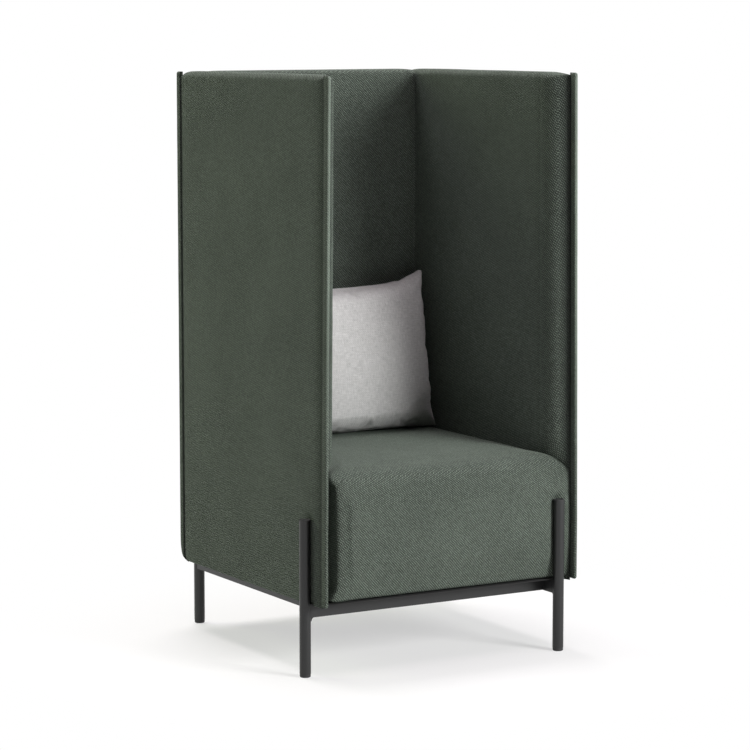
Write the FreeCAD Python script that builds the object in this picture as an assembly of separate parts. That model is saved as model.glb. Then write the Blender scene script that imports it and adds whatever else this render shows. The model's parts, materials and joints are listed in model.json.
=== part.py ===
import FreeCAD, Part
import math
import os

# Privacy booth seat for one person: a steel base whose four legs stand in a pinwheel, an upholstered
# seat block, three tall padded panels and a loose cushion.
# Millimetres. Z is up, the front faces -Y, the origin is on the floor under the middle of the booth.

Vector = FreeCAD.Vector
CENTRE = Vector(0, 0, 0)
UP = Vector(0, 0, 1)

# Overall
TOTAL_HEIGHT = 1300.0
LEG_OUT = 340.0          # middle of the booth to a leg's axis, square to the face it stands against
LEG_STEP = 59.0          # leg's axis to the centre line of the rail beside it

# Steel base
LEG_D = 25.0
LEG_WALL = 2.0
LEG_TOP = 347.0
RAIL_H = 30.0
RAIL_W = 20.0
RAIL_WALL = 2.0
RAIL_TOP = 162.0
CAP_T = 3.0
CAP_SPIGOT = 8.0
GUSSET_R = 9.0
GUSSET_W = 12.0
TAB_SIZE = 60.0
TAB_T = 4.0

# Levelling feet
PAD_D = 24.0
PAD_H = 8.0
PAD_EDGE_R = 3.0
PAD_FLOOR = 2.5
COLLAR_D = 14.0
COLLAR_T = 3.0
STUD_D = 8.0
STUD_REACH = 28.0
INSERT_LEN = 20.0
RUNNING_CLEARANCE = 0.05

# Padded panels
PANEL_T = 50.0
COVER_T = 2.0
OUTER_FOAM_T = 10.0
CORE_T = 18.0
CORE_INSET = 8.0
PANEL_TOP_R = 15.0
PANEL_HEEL_R = 35.0
NOSE_LEN = 76.0          # length over which a side panel thins towards its front edge
NOSE_BEND_R = 60.0
FLANGE_T = 9.0
FLANGE_DEPTH = 18.0
FLANGE_TIP_R = 4.0
BATTEN_LIFT = 45.0

# Seat block
SEAT_TOP = 453.0
SEAT_FRONT_R = 50.0
SEAT_REAR_R = 10.0
SEAT_CORNER_R = 20.0
BOARD_T = 18.0
DECK_Z = 330.0
FRONT_FOAM_T = 30.0
STRAP_W = 50.0
STRAP_T = 2.0
STRAP_COUNT = 5
DUST_T = 1.0
BLOCK_SIZE = 60.0
BLOCK_H = 60.0

# Fasteners
BOLT_D = 8.0
BOLT_HEAD_AF = 13.0
BOLT_HEAD_T = 5.5
BOLT_HOLE_D = 9.0
FRAME_BOLT_INSET = 20.0
TEE_FLANGE_D = 22.0
TEE_FLANGE_T = 1.5
TEE_BARREL_D = 10.0
TEE_BARREL_LEN = 10.0
PANEL_BOLT_REACH = 150.0  # middle of the seat to a panel bolt, along the panel
PANEL_BOLT_Z = 250.0
SPACER_D = 60.0
NUT_D = 12.0
NUT_LEN = 15.0
SCREW_D = 5.0
SCREW_HEAD_D = 10.0
SCREW_HEAD_T = 4.0
SCREW_LEN = 70.0
SCREW_FIRST_Z = 560.0
SCREW_SPACING = 270.0
SCREW_COUNT = 3

# Loose cushion
CUSHION_SIDE_ROOM = 5.5
CUSHION_H = 372.0
CUSHION_T = 126.0
CUSHION_TOP_BOW = 0.10   # share by which the middle of the top and bottom edges draws in
CUSHION_SIDE_BOW = 0.04
CUSHION_PLUMP = 0.6
CUSHION_SEAM = 8.0
CUSHION_LEAN = 7.5
CUSHION_COLUMNS = 13
CUSHION_ROWS = 11
REST_GAP = 0.3

# Places worked out from the sizes
LEG_IN = LEG_OUT - LEG_STEP
BODY_HALF = LEG_OUT - LEG_D / 2
PANEL_INNER = BODY_HALF - PANEL_T
BODY_BOTTOM = RAIL_TOP
RAIL_BOTTOM = RAIL_TOP - RAIL_H
RAIL_INSIDE = LEG_IN - RAIL_W / 2
INNER_FOAM_T = PANEL_T - 2 * COVER_T - OUTER_FOAM_T - CORE_T
LINING = BODY_HALF - COVER_T
CORE_OUT = LINING - OUTER_FOAM_T
CORE_IN = CORE_OUT - CORE_T
CORE_TOP = TOTAL_HEIGHT - COVER_T - CORE_INSET
CORE_NOSE_SHARE = 1 - (CORE_IN - COVER_T - PANEL_INNER) / (PANEL_T - FLANGE_T)
CORE_FRONT = -BODY_HALF + NOSE_LEN * CORE_NOSE_SHARE + COVER_T
SEAT_SIDE = PANEL_INNER
CUSHION_W = 2 * (PANEL_INNER - CUSHION_SIDE_ROOM)
SEAT_LINING = SEAT_SIDE - COVER_T
BOX_BOTTOM = BODY_BOTTOM + DUST_T
BOX_INSIDE = SEAT_LINING - BOARD_T
BOX_FRONT = -BODY_HALF + COVER_T + FRONT_FOAM_T
BOX_FRONT_INSIDE = BOX_FRONT + BOARD_T
SIDE_BOARD_TOP = DECK_Z + STRAP_T
FOAM_BOTTOM = SIDE_BOARD_TOP + STRAP_T
FRAME_BOLT_LEN = TAB_T + DUST_T + BLOCK_H
PANEL_BOLT_LEN = BOARD_T + 2 * COVER_T + INNER_FOAM_T + NUT_LEN
SCREW_ZS = [SCREW_FIRST_Z + SCREW_SPACING * i for i in range(SCREW_COUNT)]
CORNERS = ["front_left", "front_right", "rear_right", "rear_left"]
SIDES = ["front", "right", "rear", "left"]


def box(x0, x1, y0, y1, z0, z1):
    return Part.makeBox(x1 - x0, y1 - y0, z1 - z0, Vector(x0, y0, z0))


def rod(diameter, length, base, direction=UP):
    return Part.makeCylinder(diameter / 2, length, base, direction)


def quarter_turn(shape, count):
    turned = shape.copy()
    turned.rotate(CENTRE, UP, 90.0 * count)
    return turned


def mirrored(shape):
    return shape.mirror(CENTRE, Vector(1, 0, 0))


def group(shapes):
    return Part.makeCompound(shapes)


def outline(corners, place):
    """Face bounded by straight runs, each corner (u, v, radius) rounded by a tangent arc."""
    count = len(corners)
    starts = []
    ends = []
    middles = []
    for i in range(count):
        u, v, radius = corners[i]
        corner = Vector(u, v, 0)
        before = Vector(corners[i - 1][0], corners[i - 1][1], 0).sub(corner).normalize()
        after_corner = corners[(i + 1) % count]
        after = Vector(after_corner[0], after_corner[1], 0).sub(corner).normalize()
        half = before.getAngle(after) / 2
        reach = radius / math.tan(half)
        starts.append(corner + before * reach)
        ends.append(corner + after * reach)
        bisector = (before + after).normalize()
        middles.append(corner + bisector * (radius / math.sin(half) - radius))
    edges = []
    for i in range(count):
        if corners[i][2] > 0:
            arc_points = [place(p.x, p.y) for p in (starts[i], middles[i], ends[i])]
            edges.append(Part.Arc(*arc_points).toShape())
        run_start = ends[i]
        run_end = starts[(i + 1) % count]
        edges.append(Part.makeLine(place(run_start.x, run_start.y), place(run_end.x, run_end.y)))
    return Part.Face(Part.Wire(edges))


def prism_z(corners, z0, z1):
    return outline(corners, lambda u, v: Vector(u, v, z0)).extrude(Vector(0, 0, z1 - z0))


def prism_x(corners, x0, x1):
    return outline(corners, lambda u, v: Vector(x0, u, v)).extrude(Vector(x1 - x0, 0, 0))


def prism_y(corners, y0, y1):
    return outline(corners, lambda u, v: Vector(u, y0, v)).extrude(Vector(0, y1 - y0, 0))


def hex_head(base, direction):
    """Hexagonal bolt head standing on base, pointing along direction."""
    radius = BOLT_HEAD_AF / 2 / math.cos(math.pi / 6)
    turns = [i * math.pi / 3 for i in range(6)]
    points = [Vector(radius * math.cos(turn), radius * math.sin(turn), 0) for turn in turns]
    head = Part.Face(Part.makePolygon(points + [points[0]])).extrude(Vector(0, 0, BOLT_HEAD_T))
    head.Placement = FreeCAD.Placement(base, FreeCAD.Rotation(UP, direction))
    return head


# Steel base: one leg with the rail it carries, turned four times

def leg_axis_point(z):
    return Vector(-LEG_OUT, -LEG_IN, z)


def make_leg():
    height = LEG_TOP - CAP_T - PAD_H
    tube = rod(LEG_D, height, leg_axis_point(PAD_H))
    return tube.cut(rod(LEG_D - 2 * LEG_WALL, height, leg_axis_point(PAD_H)))


def make_rail():
    x1 = RAIL_INSIDE
    half = RAIL_W / 2
    outer = box(-LEG_OUT, x1, -LEG_IN - half, -LEG_IN + half, RAIL_BOTTOM, RAIL_TOP)
    hollow = box(-LEG_OUT, x1, -LEG_IN - half + RAIL_WALL, -LEG_IN + half - RAIL_WALL,
                 RAIL_BOTTOM + RAIL_WALL, RAIL_TOP - RAIL_WALL)
    leg_space = rod(LEG_D, TOTAL_HEIGHT, leg_axis_point(0))
    return outer.cut(hollow).cut(leg_space)


def make_gusset():
    face_x = -LEG_OUT + LEG_D / 2
    block = box(-LEG_OUT, face_x + GUSSET_R, -LEG_IN - GUSSET_W / 2, -LEG_IN + GUSSET_W / 2,
                RAIL_BOTTOM - GUSSET_R, RAIL_BOTTOM)
    hollow_base = Vector(face_x + GUSSET_R, -LEG_IN - GUSSET_W / 2, RAIL_BOTTOM - GUSSET_R)
    hollow = rod(2 * GUSSET_R, GUSSET_W, hollow_base, Vector(0, 1, 0))
    return block.cut(hollow).cut(rod(LEG_D, TOTAL_HEIGHT, leg_axis_point(0)))


def make_cap():
    spigot_d = LEG_D - 2 * LEG_WALL - 2 * RUNNING_CLEARANCE
    disc = rod(LEG_D, CAP_T, leg_axis_point(LEG_TOP - CAP_T))
    spigot = rod(spigot_d, CAP_SPIGOT, leg_axis_point(LEG_TOP - CAP_T - CAP_SPIGOT))
    return disc.fuse(spigot).removeSplitter()


def make_insert():
    outer_d = LEG_D - 2 * LEG_WALL - 2 * RUNNING_CLEARANCE
    body = rod(outer_d, INSERT_LEN, leg_axis_point(PAD_H))
    return body.cut(rod(STUD_D + 2 * RUNNING_CLEARANCE, INSERT_LEN, leg_axis_point(PAD_H)))


def make_stud():
    collar = rod(COLLAR_D, COLLAR_T, leg_axis_point(PAD_FLOOR))
    shank_bottom = PAD_FLOOR + COLLAR_T
    shank = rod(STUD_D, PAD_H + STUD_REACH - shank_bottom, leg_axis_point(shank_bottom))
    return collar.fuse(shank).removeSplitter()


def make_pad():
    disc = rod(PAD_D, PAD_H, leg_axis_point(0))
    floor_edges = [e for e in disc.Edges if e.BoundBox.ZMax < PAD_H / 2]
    disc = disc.makeFillet(PAD_EDGE_R, floor_edges)
    socket_height = COLLAR_T + 2 * RUNNING_CLEARANCE
    socket = rod(COLLAR_D + 2 * RUNNING_CLEARANCE, socket_height, leg_axis_point(PAD_FLOOR - RUNNING_CLEARANCE))
    neck = rod(STUD_D + 2 * RUNNING_CLEARANCE, PAD_H - PAD_FLOOR, leg_axis_point(PAD_FLOOR))
    return disc.cut(socket.fuse(neck))


def make_tabs():
    tab_x = RAIL_INSIDE - TAB_SIZE
    tabs = []
    for sx, sy, x, y in frame_bolt_places():
        x0, x1 = sorted((sx * tab_x, sx * RAIL_INSIDE))
        y0, y1 = sorted((sy * tab_x, sy * RAIL_INSIDE))
        plate = box(x0, x1, y0, y1, RAIL_TOP - TAB_T, RAIL_TOP)
        tabs.append(plate.cut(rod(BOLT_HOLE_D, TAB_T, Vector(x, y, RAIL_TOP - TAB_T))))
    return group(tabs)


# Fasteners between the base and the seat block

def frame_bolt_places():
    """Side signs and axis of each bolt that holds a corner block to a tab of the base."""
    places = []
    for sx in (-1, 1):
        for sy, inside in ((-1, BOX_FRONT_INSIDE), (1, BOX_INSIDE)):
            places.append((sx, sy, sx * (BOX_INSIDE - FRAME_BOLT_INSET), inside - sy * FRAME_BOLT_INSET))
    return places


def make_frame_bolts():
    bolts = []
    for sx, sy, x, y in frame_bolt_places():
        seat = Vector(x, y, RAIL_TOP - TAB_T)
        shank = rod(BOLT_D, FRAME_BOLT_LEN, seat)
        bolts.append(shank.fuse(hex_head(seat, Vector(0, 0, -1))))
    return group(bolts)


def make_tee_nuts():
    block_top = BOX_BOTTOM + BLOCK_H
    nuts = []
    for sx, sy, x, y in frame_bolt_places():
        flange = rod(TEE_FLANGE_D, TEE_FLANGE_T, Vector(x, y, block_top))
        barrel = rod(TEE_BARREL_D, TEE_BARREL_LEN, Vector(x, y, block_top - TEE_BARREL_LEN))
        bore_base = Vector(x, y, block_top - TEE_BARREL_LEN)
        bore = rod(BOLT_D + 2 * RUNNING_CLEARANCE, TEE_BARREL_LEN + TEE_FLANGE_T, bore_base)
        nuts.append(flange.fuse(barrel).cut(bore))
    return group(nuts)


def make_corner_blocks():
    blocks = []
    for sx, sy, x, y in frame_bolt_places():
        corner_y = BOX_FRONT_INSIDE if sy < 0 else BOX_INSIDE
        corner = Vector(sx * BOX_INSIDE, corner_y, BOX_BOTTOM)
        along_x = corner + Vector(-sx * BLOCK_SIZE, 0, 0)
        along_y = corner + Vector(0, -sy * BLOCK_SIZE, 0)
        block = Part.Face(Part.makePolygon([corner, along_x, along_y, corner])).extrude(Vector(0, 0, BLOCK_H))
        barrel_d = TEE_BARREL_D + 2 * RUNNING_CLEARANCE
        barrel_space = rod(barrel_d, TEE_BARREL_LEN, Vector(x, y, BOX_BOTTOM + BLOCK_H - TEE_BARREL_LEN))
        blocks.append(block.cut(rod(BOLT_HOLE_D, BLOCK_H, Vector(x, y, BOX_BOTTOM))).cut(barrel_space))
    return group(blocks)


# Fasteners between the seat block and the panels, and between the panels

def panel_bolt_places():
    """Start on the inside of a seat board and direction of each panel bolt."""
    places = []
    for reach in (-PANEL_BOLT_REACH, PANEL_BOLT_REACH):
        places.append((Vector(-BOX_INSIDE, reach, PANEL_BOLT_Z), Vector(-1, 0, 0)))
        places.append((Vector(BOX_INSIDE, reach, PANEL_BOLT_Z), Vector(1, 0, 0)))
        places.append((Vector(reach, BOX_INSIDE, PANEL_BOLT_Z), Vector(0, 1, 0)))
    return places


PANEL_BOLT_PLACES = panel_bolt_places()
SPACER_START = BOARD_T + 2 * COVER_T
NUT_START = SPACER_START + INNER_FOAM_T
BOLT_WAYS = group([rod(BOLT_HOLE_D, NUT_START, start, way) for start, way in PANEL_BOLT_PLACES])
SPACER_SPACES = group([rod(SPACER_D, INNER_FOAM_T, start + way * SPACER_START, way)
                       for start, way in PANEL_BOLT_PLACES])
NUT_SPACES = group([rod(NUT_D, NUT_LEN, start + way * NUT_START, way) for start, way in PANEL_BOLT_PLACES])


def make_panel_bolts():
    bolts = []
    for start, way in PANEL_BOLT_PLACES:
        bolts.append(rod(BOLT_D, PANEL_BOLT_LEN, start, way).fuse(hex_head(start, way * -1)))
    return group(bolts)


def make_panel_spacers():
    spacers = [rod(SPACER_D, INNER_FOAM_T, start + way * SPACER_START, way) for start, way in PANEL_BOLT_PLACES]
    return group([spacer.cut(BOLT_WAYS) for spacer in spacers])


def make_panel_nuts():
    nuts = []
    for start, way in PANEL_BOLT_PLACES:
        base = start + way * NUT_START
        bore = rod(BOLT_D + 2 * RUNNING_CLEARANCE, NUT_LEN, base, way)
        nuts.append(rod(NUT_D, NUT_LEN, base, way).cut(bore))
    return group(nuts)


def corner_screw(z, extra):
    """Long screw from a side board's outer face, through the batten, into the end of the back board."""
    head_base = Vector(CORE_OUT, (CORE_IN + CORE_OUT) / 2, z)
    inward = Vector(-1, 0, 0)
    head = rod(SCREW_HEAD_D + extra, SCREW_HEAD_T, head_base, inward)
    return head.fuse(rod(SCREW_D + extra, SCREW_LEN, head_base, inward))


def both_sides(shapes):
    return group(shapes + [mirrored(shape) for shape in shapes])


SCREW_SPACES = both_sides([corner_screw(z, 2 * RUNNING_CLEARANCE) for z in SCREW_ZS])


# Padded side panel, built on the right and mirrored for the left

def side_outline(inset, bottom):
    """Side view of a side panel, its lower rear corner rounded."""
    top = TOTAL_HEIGHT - inset
    return [(-BODY_HALF + inset, bottom, 0), (BODY_HALF - inset, bottom, PANEL_HEEL_R - inset),
            (BODY_HALF - inset, top, 0), (-BODY_HALF + inset, top, 0)]


def side_form(inset, bottom):
    """Right panel's outer form, drawn in by inset on every face above its bottom."""
    outer_x = BODY_HALF - inset
    inner_x = PANEL_INNER + inset
    front_y = -BODY_HALF + inset
    plan = [(outer_x, front_y, 0), (outer_x, BODY_HALF - inset, 0), (inner_x, BODY_HALF - inset, 0),
            (inner_x, -BODY_HALF + NOSE_LEN, NOSE_BEND_R), (BODY_HALF - FLANGE_T, front_y, 0)]
    top = TOTAL_HEIGHT - inset
    radius = PANEL_TOP_R - inset
    section = [(inner_x, bottom, 0), (outer_x, bottom, 0), (outer_x, top, radius), (inner_x, top, radius)]
    form = prism_z(plan, bottom, top)
    form = form.common(prism_y(section, front_y, BODY_HALF - inset))
    return form.common(prism_x(side_outline(inset, bottom), inner_x, outer_x))


def make_side_core():
    rear = LINING - CORE_INSET
    corners = [(CORE_FRONT, BODY_BOTTOM, 0), (rear, BODY_BOTTOM, PANEL_HEEL_R), (rear, CORE_TOP, 0),
               (CORE_FRONT, CORE_TOP, 0)]
    return prism_x(corners, CORE_IN, CORE_OUT)


def make_batten():
    return box(PANEL_INNER + COVER_T, CORE_IN, PANEL_INNER + COVER_T, LINING - CORE_INSET,
               BODY_BOTTOM + BATTEN_LIFT, TOTAL_HEIGHT - PANEL_TOP_R)


def make_flanges():
    front = [(-BODY_HALF - FLANGE_DEPTH, BODY_BOTTOM, FLANGE_TIP_R), (-BODY_HALF, BODY_BOTTOM, 0),
             (-BODY_HALF, TOTAL_HEIGHT, 0), (-BODY_HALF - FLANGE_DEPTH, TOTAL_HEIGHT, FLANGE_TIP_R)]
    rear_y = BODY_HALF + FLANGE_DEPTH
    heel_y = BODY_HALF - PANEL_HEEL_R - FLANGE_DEPTH
    rear = [(heel_y, BODY_BOTTOM, 0), (rear_y, BODY_BOTTOM, PANEL_HEEL_R + FLANGE_DEPTH),
            (rear_y, TOTAL_HEIGHT, FLANGE_TIP_R), (heel_y, TOTAL_HEIGHT, 0)]
    inside = BODY_HALF - FLANGE_T
    panel_space = prism_x(side_outline(0, BODY_BOTTOM), inside, BODY_HALF)
    return group([prism_x(front, inside, BODY_HALF), prism_x(rear, inside, BODY_HALF).cut(panel_space)])


def side_panel():
    core = make_side_core()
    batten = make_batten()
    lining = side_form(COVER_T, BODY_BOTTOM + COVER_T)
    cover = side_form(0, BODY_BOTTOM).cut(lining).cut(core).cut(BOLT_WAYS).cut(SCREW_SPACES)
    inner_half = box(0, CORE_OUT, -BODY_HALF, BODY_HALF, 0, TOTAL_HEIGHT)
    inner_foam = lining.common(inner_half).cut(core).cut(batten).cut(SPACER_SPACES).cut(SCREW_SPACES)
    outer_foam = lining.cut(inner_half)
    return {
        "board": core.cut(NUT_SPACES).cut(SCREW_SPACES),
        "batten": batten.cut(SCREW_SPACES),
        "inner_foam": inner_foam,
        "outer_foam": outer_foam,
        "cover": cover,
        "flanges": make_flanges(),
    }


# Padded back panel, standing between the side panels

def back_form(inset, bottom):
    inner_y = PANEL_INNER + inset
    outer_y = BODY_HALF - inset
    top = TOTAL_HEIGHT - inset
    radius = PANEL_TOP_R - inset
    section = [(inner_y, bottom, 0), (outer_y, bottom, 0), (outer_y, top, radius), (inner_y, top, radius)]
    return prism_x(section, -PANEL_INNER + inset, PANEL_INNER - inset)


def back_panel():
    end = SEAT_LINING
    core = box(-end, end, CORE_IN, CORE_OUT, BODY_BOTTOM, CORE_TOP)
    lining = back_form(COVER_T, BODY_BOTTOM + COVER_T)
    cover = back_form(0, BODY_BOTTOM).cut(lining).cut(core).cut(BOLT_WAYS).cut(SCREW_SPACES)
    inner_half = box(-BODY_HALF, BODY_HALF, 0, CORE_OUT, 0, TOTAL_HEIGHT)
    return {
        "board": core.cut(NUT_SPACES).cut(SCREW_SPACES),
        "inner_foam": lining.common(inner_half).cut(core).cut(SPACER_SPACES),
        "outer_foam": lining.cut(inner_half),
        "cover": cover,
    }


# Seat block

def seat_plan(inset):
    """Seat seen from above: its front corners spread into the room that the thinning panels leave."""
    side = SEAT_SIDE - inset
    front = -BODY_HALF + inset
    front_side = BODY_HALF - FLANGE_T - inset
    bend_y = -BODY_HALF + NOSE_LEN
    rear = PANEL_INNER - inset
    corner_r = SEAT_CORNER_R - inset
    return [(-front_side, front, corner_r), (front_side, front, corner_r), (side, bend_y, NOSE_BEND_R),
            (side, rear, 0), (-side, rear, 0), (-side, bend_y, NOSE_BEND_R)]


def seat_form(inset):
    front = -BODY_HALF + inset
    rear = PANEL_INNER - inset
    top = SEAT_TOP - inset
    section = [(front, BOX_BOTTOM, 0), (rear, BOX_BOTTOM, 0), (rear, top, SEAT_REAR_R - inset),
               (front, top, SEAT_FRONT_R - inset)]
    return prism_z(seat_plan(inset), BOX_BOTTOM, top).common(prism_x(section, -BODY_HALF, BODY_HALF))


def seat_block():
    padding = seat_form(COVER_T)
    side = SEAT_LINING
    front_board = box(-side, side, BOX_FRONT, BOX_FRONT_INSIDE, BOX_BOTTOM, DECK_Z)
    rear_board = box(-side, side, BOX_INSIDE, SEAT_LINING, BOX_BOTTOM, DECK_Z)
    side_board = box(BOX_INSIDE, side, BOX_FRONT_INSIDE, BOX_INSIDE, BOX_BOTTOM, SIDE_BOARD_TOP)
    above_straps = box(-BODY_HALF, BODY_HALF, -BODY_HALF, BODY_HALF, FOAM_BOTTOM, SEAT_TOP)
    box_space = box(-side, side, BOX_FRONT, SEAT_LINING, BOX_BOTTOM, FOAM_BOTTOM)
    dust_cover = prism_z(seat_plan(0), BODY_BOTTOM, BOX_BOTTOM)
    bolt_holes = [rod(BOLT_HOLE_D, DUST_T, Vector(x, y, BODY_BOTTOM))
                  for sx, sy, x, y in frame_bolt_places()]
    return {
        "seat_front_board": front_board,
        "seat_rear_board": rear_board.cut(BOLT_WAYS),
        "seat_left_board": mirrored(side_board).cut(BOLT_WAYS),
        "seat_right_board": side_board.cut(BOLT_WAYS),
        "seat_foam": padding.common(above_straps),
        "seat_front_foam": padding.cut(above_straps).cut(box_space),
        "seat_cover": seat_form(0).cut(padding).cut(BOLT_WAYS),
        "dust_cover": dust_cover.cut(group(bolt_holes)),
    }


def strap_centres(low, high):
    pitch = (high - low) / STRAP_COUNT
    return [low + pitch * (i + 0.5) for i in range(STRAP_COUNT)]


def make_straps_lengthwise():
    half = STRAP_W / 2
    return group([box(x - half, x + half, BOX_FRONT, SEAT_LINING, DECK_Z, SIDE_BOARD_TOP)
                  for x in strap_centres(-BOX_INSIDE, BOX_INSIDE)])


def make_straps_crosswise():
    half = STRAP_W / 2
    return group([box(-SEAT_LINING, SEAT_LINING, y - half, y + half, SIDE_BOARD_TOP, FOAM_BOTTOM)
                  for y in strap_centres(BOX_FRONT_INSIDE, BOX_INSIDE)])


# Loose cushion: two stuffed faces that meet in a seam, with drawn-in edges and pointed corners

def pillow(width, height, thickness):
    def face(side):
        rows = []
        for i in range(CUSHION_COLUMNS):
            u = 2.0 * i / (CUSHION_COLUMNS - 1) - 1
            row = []
            for j in range(CUSHION_ROWS):
                v = 2.0 * j / (CUSHION_ROWS - 1) - 1
                x = width / 2 * u * (1 - CUSHION_SIDE_BOW * (1 - v * v))
                z = height / 2 * v * (1 - CUSHION_TOP_BOW * (1 - u * u))
                puff = ((1 - u * u) * (1 - v * v)) ** CUSHION_PLUMP
                row.append(Vector(x, side * thickness / 2 * puff, z))
            rows.append(row)
        surface = Part.BSplineSurface()
        surface.interpolate(rows)
        return surface.toShape()
    shell = Part.Shell([face(-1), face(1)])
    shell.sewShape()
    solid = Part.Solid(shell)
    if solid.Volume < 0:
        solid.reverse()
    return solid


def make_cushion():
    outer = pillow(CUSHION_W, CUSHION_H, CUSHION_T)
    fill = pillow(CUSHION_W - 2 * CUSHION_SEAM, CUSHION_H - 2 * CUSHION_SEAM, CUSHION_T - 2 * COVER_T)
    front_half = box(-CUSHION_W, CUSHION_W, -CUSHION_T, 0, -CUSHION_H, CUSHION_H)
    skin = outer.cut(fill)
    pieces = {
        "cushion_front_cover": skin.common(front_half),
        "cushion_back_cover": skin.cut(front_half),
        "cushion_fill": fill,
    }
    outer.rotate(CENTRE, Vector(1, 0, 0), -CUSHION_LEAN)
    bounds = outer.optimalBoundingBox()
    seated = Vector(0, PANEL_INNER - REST_GAP - bounds.YMax, SEAT_TOP + REST_GAP - bounds.ZMin)
    for piece in pieces.values():
        piece.rotate(CENTRE, Vector(1, 0, 0), -CUSHION_LEAN)
        piece.translate(seated)
    return pieces


# Every piece, by the name of its node

def all_pieces():
    pieces = {}
    for i in range(4):
        pieces["leg_" + CORNERS[i]] = quarter_turn(make_leg(), i)
        pieces[SIDES[i] + "_rail"] = quarter_turn(make_rail(), i)
        pieces["foot_stud_" + CORNERS[i]] = quarter_turn(make_stud(), i)
        pieces["foot_pad_" + CORNERS[i]] = quarter_turn(make_pad(), i)
    pieces["leg_caps"] = group([quarter_turn(make_cap(), i) for i in range(4)])
    pieces["leg_gussets"] = group([quarter_turn(make_gusset(), i) for i in range(4)])
    pieces["leg_inserts"] = group([quarter_turn(make_insert(), i) for i in range(4)])
    pieces["mount_tabs"] = make_tabs()
    pieces["frame_bolts"] = make_frame_bolts()
    pieces["frame_tee_nuts"] = make_tee_nuts()
    pieces["seat_corner_blocks"] = make_corner_blocks()
    pieces["seat_straps_lengthwise"] = make_straps_lengthwise()
    pieces["seat_straps_crosswise"] = make_straps_crosswise()
    pieces.update(seat_block())
    for name, shape in side_panel().items():
        pieces["right_panel_" + name] = shape
        pieces["left_panel_" + name] = mirrored(shape)
    for name, shape in back_panel().items():
        pieces["back_panel_" + name] = shape
    pieces["panel_bolts"] = make_panel_bolts()
    pieces["panel_nuts"] = make_panel_nuts()
    pieces["panel_spacers"] = make_panel_spacers()
    pieces["corner_screws"] = both_sides([corner_screw(z, 0) for z in SCREW_ZS])
    pieces.update(make_cushion())
    return pieces


os.makedirs("parts", exist_ok=True)
for node, shape in all_pieces().items():
    shape.exportStep("parts/" + node + ".step")
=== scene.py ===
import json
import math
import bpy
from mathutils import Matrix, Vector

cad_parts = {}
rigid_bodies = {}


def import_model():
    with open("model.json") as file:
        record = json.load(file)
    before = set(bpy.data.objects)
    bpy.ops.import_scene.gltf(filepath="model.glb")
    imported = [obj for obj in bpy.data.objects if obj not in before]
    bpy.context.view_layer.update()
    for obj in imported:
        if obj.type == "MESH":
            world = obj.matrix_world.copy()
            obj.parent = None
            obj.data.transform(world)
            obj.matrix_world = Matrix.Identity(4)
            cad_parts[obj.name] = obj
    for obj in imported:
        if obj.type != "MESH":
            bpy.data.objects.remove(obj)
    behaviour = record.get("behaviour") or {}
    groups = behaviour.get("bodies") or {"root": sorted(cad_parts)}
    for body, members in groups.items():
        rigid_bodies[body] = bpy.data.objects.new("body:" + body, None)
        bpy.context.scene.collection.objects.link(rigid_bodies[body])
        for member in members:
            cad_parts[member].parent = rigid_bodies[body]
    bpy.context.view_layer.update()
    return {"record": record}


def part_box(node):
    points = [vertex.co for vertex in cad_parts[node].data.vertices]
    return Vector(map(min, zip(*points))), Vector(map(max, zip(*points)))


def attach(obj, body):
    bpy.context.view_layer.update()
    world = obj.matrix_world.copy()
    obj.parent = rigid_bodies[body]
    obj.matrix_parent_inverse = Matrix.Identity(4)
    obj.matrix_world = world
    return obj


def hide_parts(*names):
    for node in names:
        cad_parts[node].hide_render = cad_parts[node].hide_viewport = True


bl_info = {
    "name": "Privacy booth seat",
    "version": (1, 0, 0),
    "blender": (4, 5, 0),
    "location": "View3D > Sidebar > Booth",
    "description": "Dresses the packed booth with upholstery, a loose cushion, stitching and finishes",
    "category": "Object",
}

import bmesh
import bpy
from mathutils import Matrix, Vector, noise
from mathutils.bvhtree import BVHTree

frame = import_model()

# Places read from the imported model, in metres
PANEL_LOW, PANEL_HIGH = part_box("right_panel_cover")
SEAT_LOW, SEAT_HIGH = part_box("seat_cover")
FLANGE_LOW, FLANGE_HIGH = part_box("right_panel_flanges")
DUST_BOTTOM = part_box("dust_cover")[0][2]
LEG_LOW, LEG_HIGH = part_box("leg_front_right")

PANEL_INSIDE = PANEL_LOW[0]
PANEL_OUTSIDE = PANEL_HIGH[0]
PANEL_FRONT = PANEL_LOW[1]
PANEL_REAR = PANEL_HIGH[1]
PANEL_BOTTOM = PANEL_LOW[2]
PANEL_TOP = PANEL_HIGH[2]
SEAT_TOP = SEAT_HIGH[2]
SEAT_BOTTOM = SEAT_LOW[2]
LEG_TOP = LEG_HIGH[2]
LEG_STEP = (LEG_HIGH[0] + LEG_LOW[0]) / 2
MM = 0.001
UV_NAME = "cloth"
# Attribute that carries a painted highlight on the flanges' folded edges
EDGE_HIGHLIGHT_NAME = "fold"
# Attribute that carries painted shade in the grooves beside the flanges
GROOVE_SHADE_NAME = "seam"


# Sizes and colours that a user would change

def length(label, text, default):
    return bpy.props.FloatProperty(name=label, description=text, default=default, precision=4,
                                   subtype="DISTANCE", unit="LENGTH")


def colour(label, text, default):
    return bpy.props.StringProperty(name=label, description=text + ", as an sRGB hex value", default=default)


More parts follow.
